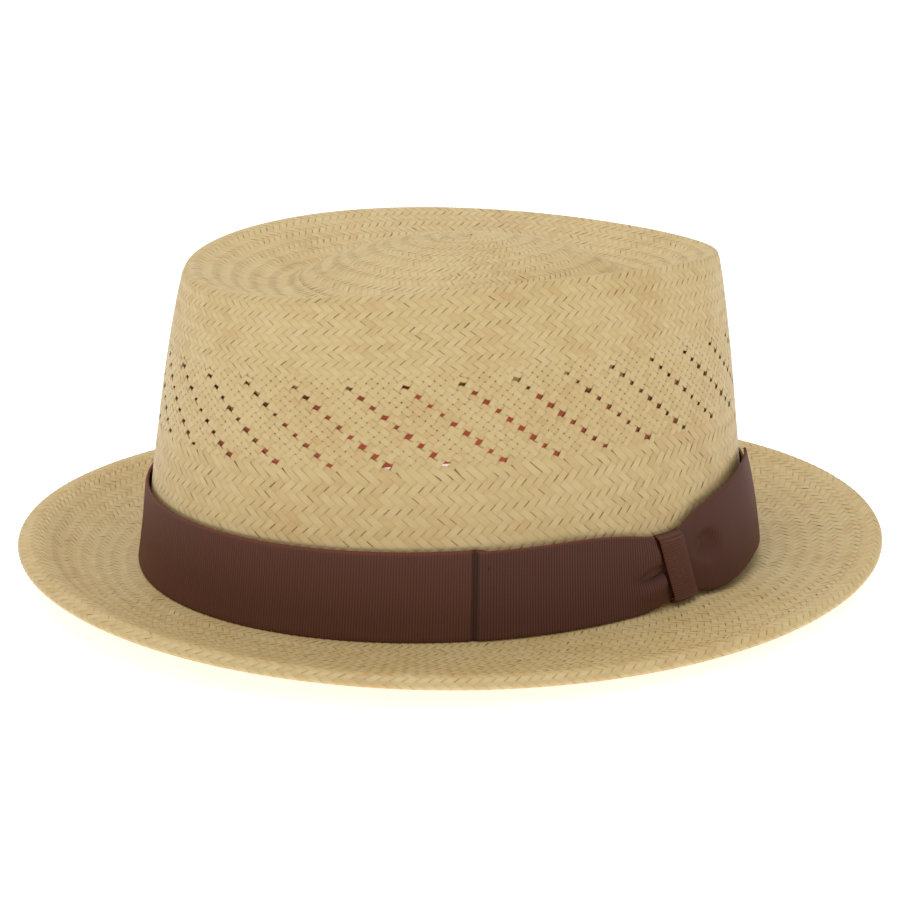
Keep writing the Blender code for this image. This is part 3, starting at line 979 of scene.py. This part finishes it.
def ribbon_strip(
    name, node, around, low, high, out, along_mm, closed=False, rows=RIBBON_ROWS, crease_shade=None, ribbed=1.0
):
    """A ribbed ribbon by columns of points. out: their level distance from the wall, crease shade: painted
    shade in folds.
    """
    count = len(around)
    rib = 0.5 + ribbed * (np.tile(RIB_SHAPE, count // RIB_COLUMNS + 1)[:count] - 0.5)
    share = rows[None, :]
    height = mix(low[:, None], high[:, None], share)
    face = on_wall(np.broadcast_to(around[:, None], height.shape), height, out)
    down_path = np.gradient(face, axis=0)
    if closed:
        down_path[0] = down_path[-1] = face[1] - face[-2]
    normals = unit(np.cross(down_path, np.gradient(face, axis=1)))
    from_edge = np.minimum(share, 1 - share) * (high - low)[:, None]
    turned = SELVEDGE_TURN * np.clip(1 - from_edge / SELVEDGE_LINE, 0, 1) ** 2
    face = face + normals * (RIB_HEIGHT * (rib[:, None] - 0.5) - turned)[..., None]
    shape = (count, len(rows))
    thread = np.stack(np.broadcast_arrays(along_mm[:, None], height / MM, 0.0 * height), axis=-1)
    top_edge = np.clip(1 - (1 - share) * (high - low)[:, None] / SELVEDGE_LINE, 0, 1)
    piece = add_piece(
        name,
        face,
        grid_quads(*shape, looped=True)[:, ::-1] if closed else grid_quads(*shape),
        grosgrain,
        {
            "thread": thread.reshape(-1, 3),
            "rib": np.broadcast_to(rib[:, None], shape).ravel(),
            "selvedge": (top_edge > 0.35).astype(float).ravel() * 0.5 * ribbed,
            "crease_shade": np.zeros(shape).ravel() if crease_shade is None else np.broadcast_to(crease_shade, shape).ravel(),
        },
    )
    thicken(piece, RIBBON_THICKNESS)
    return stand_for(piece, node)


# %% [markdown]
# ## Pinched edges
# The knot is a narrow ribbon pulled tight round band and bow together, so their edges draw in towards it.
# Two short tables give the upper and lower edge by distance from the knot, and every layer of ribbon reads
# them.

# %% Edges near the knot
# distance: from the knot in mm, towards the back counts up. drop: how far the edge is drawn in, in mm
TOP_PINCH = [
    dict(distance=-44, drop=0.0),
    dict(distance=-30, drop=0.6),
    dict(distance=-20, drop=2.0),
    dict(distance=-12, drop=3.7),
    dict(distance=-6, drop=4.9),
    dict(distance=0, drop=4.4),
    dict(distance=5, drop=2.3),
    dict(distance=11, drop=0.5),
    dict(distance=18, drop=0.0),
]
LOW_PINCH = [
    dict(distance=-16, drop=0.0),
    dict(distance=-8, drop=1.2),
    dict(distance=-3, drop=2.0),
    dict(distance=3, drop=2.2),
    dict(distance=9, drop=1.6),
    dict(distance=16, drop=0.0),
]


KNOT_WIDTH = 9.6 * MM
KNOT_LEAN = 5.7 * MM
KNOT_MIDDLE = -1.3 * MM
KNOT_LOW = 3.5 * MM
KNOT_HIGH = 24.7 * MM


def drawn_in(table, distance):
    """The drop at each distance, eased between the rows of the table."""
    at = np.array([row["distance"] for row in table]) * MM
    drops = np.array([row["drop"] for row in table]) * MM
    part = np.clip(np.searchsorted(at, distance, side="right") - 1, 0, len(at) - 2)
    share = np.clip((distance - at[part]) / (at[part + 1] - at[part]), 0, 1)
    slopes = np.gradient(drops, at)
    slopes[0] = slopes[-1] = 0
    reach = at[part + 1] - at[part]
    return ease(drops[part], drops[part + 1], slopes[part], slopes[part + 1], reach, share)


def bell(values, middle, reach):
    return np.exp(-(((values - middle) / reach) ** 2))


def edges_at(distance, layer=0.0):
    """Lower and upper edge at distances from the knot. layer: how far each stands beyond the band's."""
    low = BAND_LOW + drawn_in(LOW_PINCH, distance) - layer
    high = BAND_LOW + BAND_HEIGHT - drawn_in(TOP_PINCH, distance) + layer
    return low, high


# %% Band
band_ribs = round(RIBBON_GIRTH / RIB_PITCH)
BAND_FACE = CLEARANCE + RIBBON
BOW_FLAT_LENGTH = 70.0 * MM
COVER_EASE = 5 * MM
# middle, reach: where the bow covers the band, from the knot. lower: how far the band's upper edge is kept
# down there
COVERS = [
    dict(middle=-7 * MM, reach=62 * MM, lower=1.6 * MM),
    dict(middle=38 * MM, reach=30 * MM, lower=2.4 * MM),
]
band_distance = (np.arange(band_ribs * RIB_COLUMNS) / (band_ribs * RIB_COLUMNS) - 0.5) * RIBBON_GIRTH
band_low, band_high = edges_at(band_distance, -0.15 * MM)
for cover in COVERS:
    under = np.clip((cover["reach"] - np.abs(band_distance - cover["middle"])) / COVER_EASE, 0, 1)
    band_high = band_high - cover["lower"] * under
# a shallow groove in the band just beyond the bow's free end, with painted shade along it
free_end_groove_and_shade = bell(band_distance, -BOW_FLAT_LENGTH - 0.9 * MM, 0.75 * MM)[:, None]
band = ribbon_strip(
    "hat_band_ribbon",
    "hat_band",
    from_knot(band_distance),
    band_low,
    band_high,
    BAND_FACE - 0.5 * MM * free_end_groove_and_shade + 0 * RIBBON_ROWS[None, :],
    band_distance / MM,
    closed=True,
    crease_shade=0.9 * free_end_groove_and_shade,
)

# %% [markdown]
# ## The flat end of the bow
# In front of the knot the ribbon lies flat over the band, with a free edge 70 mm away. At the knot it is
# gathered, so it rises in two soft lobes with one deep pleat between them. Lobes and pleat are added to its
# distance from the wall, and shade is painted at the knot's edge, in the pleat and along the free end.

# %% Flat end
BOW_FACE = 2 * (CLEARANCE + RIBBON)
FLAT_ROWS = np.concatenate([RIBBON_ROWS[:4], np.arange(0.12, 0.90, 0.035), RIBBON_ROWS[7:]])
PLEAT_HEIGHT = 0.49
PLEAT_WIDTH = 0.055
PLEAT_DEPTH = 2.8 * MM
LOBE_RISE = 1.9 * MM
LOBE_PEAK = -10.0 * MM
LOBE_REACH = 7.0 * MM
DIVE = 1.6 * MM


flat_count = round(BOW_FLAT_LENGTH / RIB_PITCH) * RIB_COLUMNS
flat_distance = np.linspace(-BOW_FLAT_LENGTH - CLEARANCE, -CLEARANCE, flat_count)
flat_low, flat_high = edges_at(flat_distance)
flat_share = FLAT_ROWS[None, :]
distance = flat_distance[:, None]
pleat_line = PLEAT_HEIGHT + 0.05 * np.clip((distance - LOBE_PEAK) / (5 * MM), -1.5, 1)
lobes = 0.8 * bell(flat_share, pleat_line + 0.24, 0.20) + 1.0 * bell(flat_share, pleat_line - 0.18, 0.15)
pleat = bell(flat_share, pleat_line, PLEAT_WIDTH)
gather = bell(distance, LOBE_PEAK, LOBE_REACH)
gather = np.where(distance > LOBE_PEAK, np.maximum(gather, 0.75), gather)
knot_side = KNOT_MIDDLE + KNOT_LEAN * (0.5 - flat_share) - KNOT_WIDTH / 2
dive = np.clip((distance - knot_side + DIVE) / DIVE, 0, 1)
dive = dive**2 * (3 - 2 * dive)
free_end = np.clip(1 - (distance + BOW_FLAT_LENGTH + CLEARANCE) / (0.9 * MM), 0, 1)
flat_out = BOW_FACE + LOBE_RISE * gather * lobes - PLEAT_DEPTH * gather**2 * pleat - 0.7 * MM * free_end**2
flat_out = mix(flat_out, BOW_FACE - 1.0 * MM, dive)
# painted shade: darker where the flat dives under the knot, in the pleat and along the free end
flat_shade = 0.85 * bell(distance, knot_side - 0.2 * MM, 0.8 * MM) + 0.95 * gather**2 * pleat + 0.8 * free_end
flat_shade = np.clip(flat_shade, 0, 1)
flat = ribbon_strip(
    "bow_flat_ribbon",
    "bow_flat",
    from_knot(flat_distance),
    flat_low,
    flat_high,
    flat_out,
    flat_distance / MM,
    rows=FLAT_ROWS,
    crease_shade=flat_shade,
)

# %% [markdown]
# ## The loop behind the knot
# Behind the knot the ribbon stands off the band in a soft loop, folds round at its end and comes back under
# itself. Its path is drawn from above: how far it is from the knot and how far it stands off. The lower
# edge stands off most, the loop rises a little towards its end, and a shallow dimple shows where a thumb
# pressed it.

# %% Loop
BOW_TAIL_LENGTH = 62.0 * MM
TAIL_PUFF = 5.2 * MM
TAIL_FLARE = 0.10
TAIL_RIBBED = 0.35
TAIL_RISE_LOW = 4.6 * MM
TAIL_RISE_HIGH = 4.2 * MM
DIMPLE_DISTANCE = 12.5 * MM
DIMPLE_HEIGHT = 0.52
DIMPLE_DEPTH = 2.2 * MM
DIMPLE_REACH = 4.5 * MM
DIMPLE_SPAN = 0.16
RETURN_LOWER = 3.5 * MM
RISE_START = 6 * MM
RISE_LENGTH = 32 * MM
# along: share of the loop's length from the knot. puff: share of its puff, or below 0 of a ribbon's
# thickness inwards
TAIL_PATH = [
    dict(along=0.00, puff=0.00),
    dict(along=0.10, puff=0.10),
    dict(along=0.20, puff=0.55),
    dict(along=0.32, puff=0.92),
    dict(along=0.46, puff=1.00),
    dict(along=0.66, puff=0.92),
    dict(along=0.86, puff=0.66),
    dict(along=0.96, puff=0.44),
    dict(along=1.00, puff=0.10),
    dict(along=0.96, puff=-0.19),
    dict(along=0.70, puff=-0.19),
    dict(along=0.34, puff=-0.19),
]

tail_path = smooth_path(
    [(row["along"] * BOW_TAIL_LENGTH, row["puff"] * TAIL_PUFF) for row in TAIL_PATH],
    RIB_PITCH / RIB_COLUMNS,
)
tail_distance = np.clip(tail_path[:, 0], 0, None) + CLEARANCE
stand_off = tail_path[:, 1]
returning = np.arange(len(tail_path)) > tail_path[:, 0].argmax()
tail_low, tail_high = edges_at(tail_distance, 0.25 * MM)
rows = FLAT_ROWS[None, :]
flare = np.where(stand_off[:, None] > 0, mix(1.0, TAIL_FLARE, rows**2), 1.0)
flare = np.where(returning[:, None], 1.0, flare)
tail_high = tail_high - RETURN_LOWER * returning
rising_end = np.clip((tail_distance - RISE_START) / RISE_LENGTH, 0, 1.2)
tail_low = tail_low + TAIL_RISE_LOW * np.minimum(rising_end, 1)
tail_high = tail_high + TAIL_RISE_HIGH * rising_end * ~returning
beside_dimple = (tail_distance[:, None] - DIMPLE_DISTANCE) / DIMPLE_REACH
over_dimple = (rows - DIMPLE_HEIGHT) / DIMPLE_SPAN
dimple = np.exp(-((beside_dimple**2 + over_dimple**2) ** 2))
tail_out = BOW_FACE + stand_off[:, None] * flare - DIMPLE_DEPTH * dimple * ~returning[:, None]
tail = ribbon_strip(
    "bow_tail_ribbon",
    "bow_tail",
    from_knot(tail_distance),
    tail_low,
    tail_high,
    tail_out,
    np.arange(len(tail_path)) * RIB_PITCH / RIB_COLUMNS / MM,
    rows=FLAT_ROWS,
    ribbed=TAIL_RIBBED,
)

# %% [markdown]
# ## The knot
# The knot is a folded ribbon wrapped over the bow and stitched behind. Its ribs run across it, 0.76 mm
# apart where the fold draws them together, and it leans back as it goes down. Its ends turn in over the
# edges of the bow.

# %% Knot
KNOT_RIB = 0.76 * MM
KNOT_RIB_HEIGHT = 0.15 * MM
KNOT_FACE = BOW_FACE + CLEARANCE + RIBBON
KNOT_BASE = 2 * CLEARANCE + RIBBON
KNOT_ACROSS = np.array([-1.0, -0.95, -0.86, -0.6, -0.3, 0.0, 0.3, 0.6, 0.86, 0.95, 1.0])
KNOT_BEND = 1.4 * MM

knot_ribs = round((KNOT_HIGH - KNOT_LOW) / KNOT_RIB)
knot_up = np.linspace(0, 1, knot_ribs * RIB_COLUMNS + 1)
knot_rib = np.tile(RIB_SHAPE, knot_ribs + 1)[: len(knot_up)]
knot_height = mix(KNOT_LOW, KNOT_HIGH, knot_up)
from_end = np.minimum(knot_up, 1 - knot_up) * (KNOT_HIGH - KNOT_LOW)
bend = np.sqrt(np.clip(1 - (1 - np.clip(from_end / KNOT_BEND, 0, 1)) ** 2, 0, 1))
knot_out = mix(KNOT_BASE, KNOT_FACE, bend)
knot_out = knot_out[:, None] - 0.45 * MM * np.clip(np.abs(KNOT_ACROSS) - 0.8, 0, 1)[None, :] * 5
knot_out = knot_out + KNOT_RIB_HEIGHT * (knot_rib[:, None] - 0.5) + 0.25 * MM * (1 - KNOT_ACROSS**2)[None, :]
sideways = KNOT_MIDDLE + KNOT_LEAN * (0.5 - knot_up)[:, None] + KNOT_WIDTH / 2 * KNOT_ACROSS[None, :]
knot_points = on_wall(from_knot(sideways), np.broadcast_to(knot_height[:, None], sideways.shape), knot_out)
knot_shape = sideways.shape
knot_up_mm, knot_across_mm = knot_height[:, None] / MM, KNOT_ACROSS[None, :] * KNOT_WIDTH / 2 / MM
knot_thread = np.stack(np.broadcast_arrays(knot_up_mm, knot_across_mm, 0.0 * sideways), axis=-1)
knot = add_piece(
    "bow_knot_ribbon",
    knot_points,
    grid_quads(*knot_shape),
    grosgrain,
    {
        "thread": knot_thread.reshape(-1, 3),
        "rib": np.broadcast_to(knot_rib[:, None], knot_shape).ravel(),
        "selvedge": np.broadcast_to((np.abs(KNOT_ACROSS) > 0.97) * 0.5, knot_shape).ravel(),
    },
)
thicken(knot, RIBBON_THICKNESS)
stand_for(knot, "bow_knot")
print("knot ribs:", knot_ribs)

# %% [markdown]
# ## Tack stitches
# Two short stitches near the free edge hold the flat end down. Each is a bar of brown thread 1.6 mm long
# that dips into the ribbon at both ends.

# %% Tacks
TACK_LENGTH = 1.6 * MM
TACK_RADIUS = 0.17 * MM
TACK_SIDES = 8
TACK_STEPS = 9
TACKS = [dict(distance=-66.5, height=24.5), dict(distance=-67.3, height=7.0)]

tack_thread, _, _ = new_material(
    "brown_polyester_thread", {"Base Color": linear("#3E2A22"), "Roughness": 0.5, "Sheen Weight": 0.2}
)


def add_tacks():
    tubes = []
    for tack in TACKS:
        share = np.linspace(-1, 1, TACK_STEPS)
        height = tack["height"] * MM + share * TACK_LENGTH / 2
        out = BOW_FACE + RIB_HEIGHT + TACK_RADIUS * (1.2 - 2.4 * share**2)
        line = on_wall(from_knot(np.full(TACK_STEPS, tack["distance"] * MM)), height, out)
        forward = unit(np.gradient(line, axis=0))
        side = unit(np.cross(forward, line - line.mean(axis=0) + [0, -1, 0]))
        up = np.cross(side, forward)
        turn = np.arange(TACK_SIDES) / TACK_SIDES * 2 * math.pi
        radius = TACK_RADIUS * np.sqrt(np.clip(1.02 - share**2, 0.02, 1))[:, None, None]
        ring = np.cos(turn)[None, :, None] * side[:, None] + np.sin(turn)[None, :, None] * up[:, None]
        tubes.append(line[:, None] + radius * ring)
    quads = grid_quads(TACK_STEPS, TACK_SIDES, closed=True)
    ribs = np.zeros((len(tubes), TACK_STEPS, TACK_SIDES))
    points, faces, _ = joined([(np.array(tubes), quads, {"rib": ribs})])
    piece = add_piece("tack_stitches", points, faces, tack_thread)
    print("tacks:", len(TACKS))


add_tacks()

# %% [markdown]
# ## The leather sweatband
# A sweatband is a strip of thin russet sheepskin, chrome tanned, drum dyed and rolled smooth, which leaves
# fine rounded grain about 0.6 mm across under a low shine. It shows through the air gaps and from below, so
# its solid is dressed as it is, with grain and dye that is patchy over 25 mm.

# %% Sweatband
GRAIN_SIZE_MM = 0.6
DYE_PATCH_MM = 25.0
leather, tree, surface = new_material("russet_sheepskin", {"Roughness": 0.42, "IOR": 1.5, "Coat Weight": 0.1})
where = add_node(tree, "ShaderNodeTexCoord")
grain = add_node(
    tree,
    "ShaderNodeTexVoronoi",
    {"feature": "SMOOTH_F1"},
    {"Scale": 1000 / GRAIN_SIZE_MM},
    {"Vector": where.outputs["Object"]},
)
dye = add_node(
    tree,
    "ShaderNodeTexNoise",
    values={"Scale": 1000 / DYE_PATCH_MM, "Detail": 3.0},
    links={"Vector": where.outputs["Object"]},
)
shades = [(0.3, "#B84F26"), (0.5, "#C65D30"), (0.7, "#D26B3C")]
dyed = add_node(tree, "ShaderNodeValToRGB", links={"Fac": dye.outputs["Fac"]}, stops=shades)
pressed = add_node(
    tree,
    "ShaderNodeBump",
    values={"Strength": 0.4, "Distance": 0.08 * MM},
    links={"Height": grain.outputs["Distance"]},
)
tree.links.new(dyed.outputs["Color"], surface.inputs["Base Color"])
tree.links.new(pressed.outputs["Normal"], surface.inputs["Normal"])
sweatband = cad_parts["sweatband"]
sweatband.data.materials.clear()
sweatband.data.materials.append(leather)
print("sweatband dressed as", leather.name)

# %% [markdown]
# ## Floor, camera and light
# A product picture of a hat is taken on a light table: a sheet of white acrylic lit from below, so hardly
# any shadow shows and some light comes up inside the hat. One wide lamp hangs high over the hat, so its rim
# and hem catch light, and pale surroundings fill the rest. The camera looks down on the hat by 18 degrees,
# from its left front and about 0.6 m away.

# %% Floor
PAPER = "#F2F2F2"
TABLE_GLOW = 0.70
FLOOR_REACH = 40.0
paper, _, _ = new_material(
    "lit_white_acrylic",
    {
        "Base Color": linear(PAPER),
        "Roughness": 0.9,
        "Emission Color": linear(PAPER),
        "Emission Strength": TABLE_GLOW,
    },
)
corners = [(x * FLOOR_REACH, y * FLOOR_REACH, 0) for x, y in ((-1, -1), (1, -1), (1, 1), (-1, 1))]
floor_mesh = bpy.data.meshes.new("floor")
floor_mesh.from_pydata(corners, [], [(0, 1, 2, 3)])
floor_mesh.materials.append(paper)
floor = bpy.data.objects.new("floor", floor_mesh)
bpy.context.scene.collection.objects.link(floor)

# %% Camera
CAMERA_PLACE = (-0.1345, -0.5296, 0.2144)
CAMERA_DOWN = 18.311
CAMERA_TURN = -14.0
SENSOR = 36.0
LENS = 67.14
lens = bpy.data.cameras.new("camera")
lens.sensor_width, lens.lens = SENSOR, LENS
camera = bpy.data.objects.new("camera", lens)
camera.location = CAMERA_PLACE
camera.rotation_euler = (math.radians(90 - CAMERA_DOWN), 0, math.radians(CAMERA_TURN))
bpy.context.scene.collection.objects.link(camera)
bpy.context.scene.camera = camera

# %% Light
SKY_STRENGTH = 0.66
LAMP_WATTS = 5.4
LAMP_SIZE = 0.9
surroundings = bpy.data.worlds.new("pale_room")
surroundings.use_nodes = True
sky = surroundings.node_tree.nodes["Background"]
sky.inputs["Color"].default_value = (1, 1, 1, 1)
sky.inputs["Strength"].default_value = SKY_STRENGTH
bpy.context.scene.world = surroundings
softbox = bpy.data.lights.new("softbox", "AREA")
softbox.energy, softbox.size = LAMP_WATTS, LAMP_SIZE
lamp = bpy.data.objects.new("softbox", softbox)
lamp.location = (-0.1, 0.10, 1.2)
bpy.context.scene.collection.objects.link(lamp)
bpy.context.scene.view_settings.view_transform = "Standard"
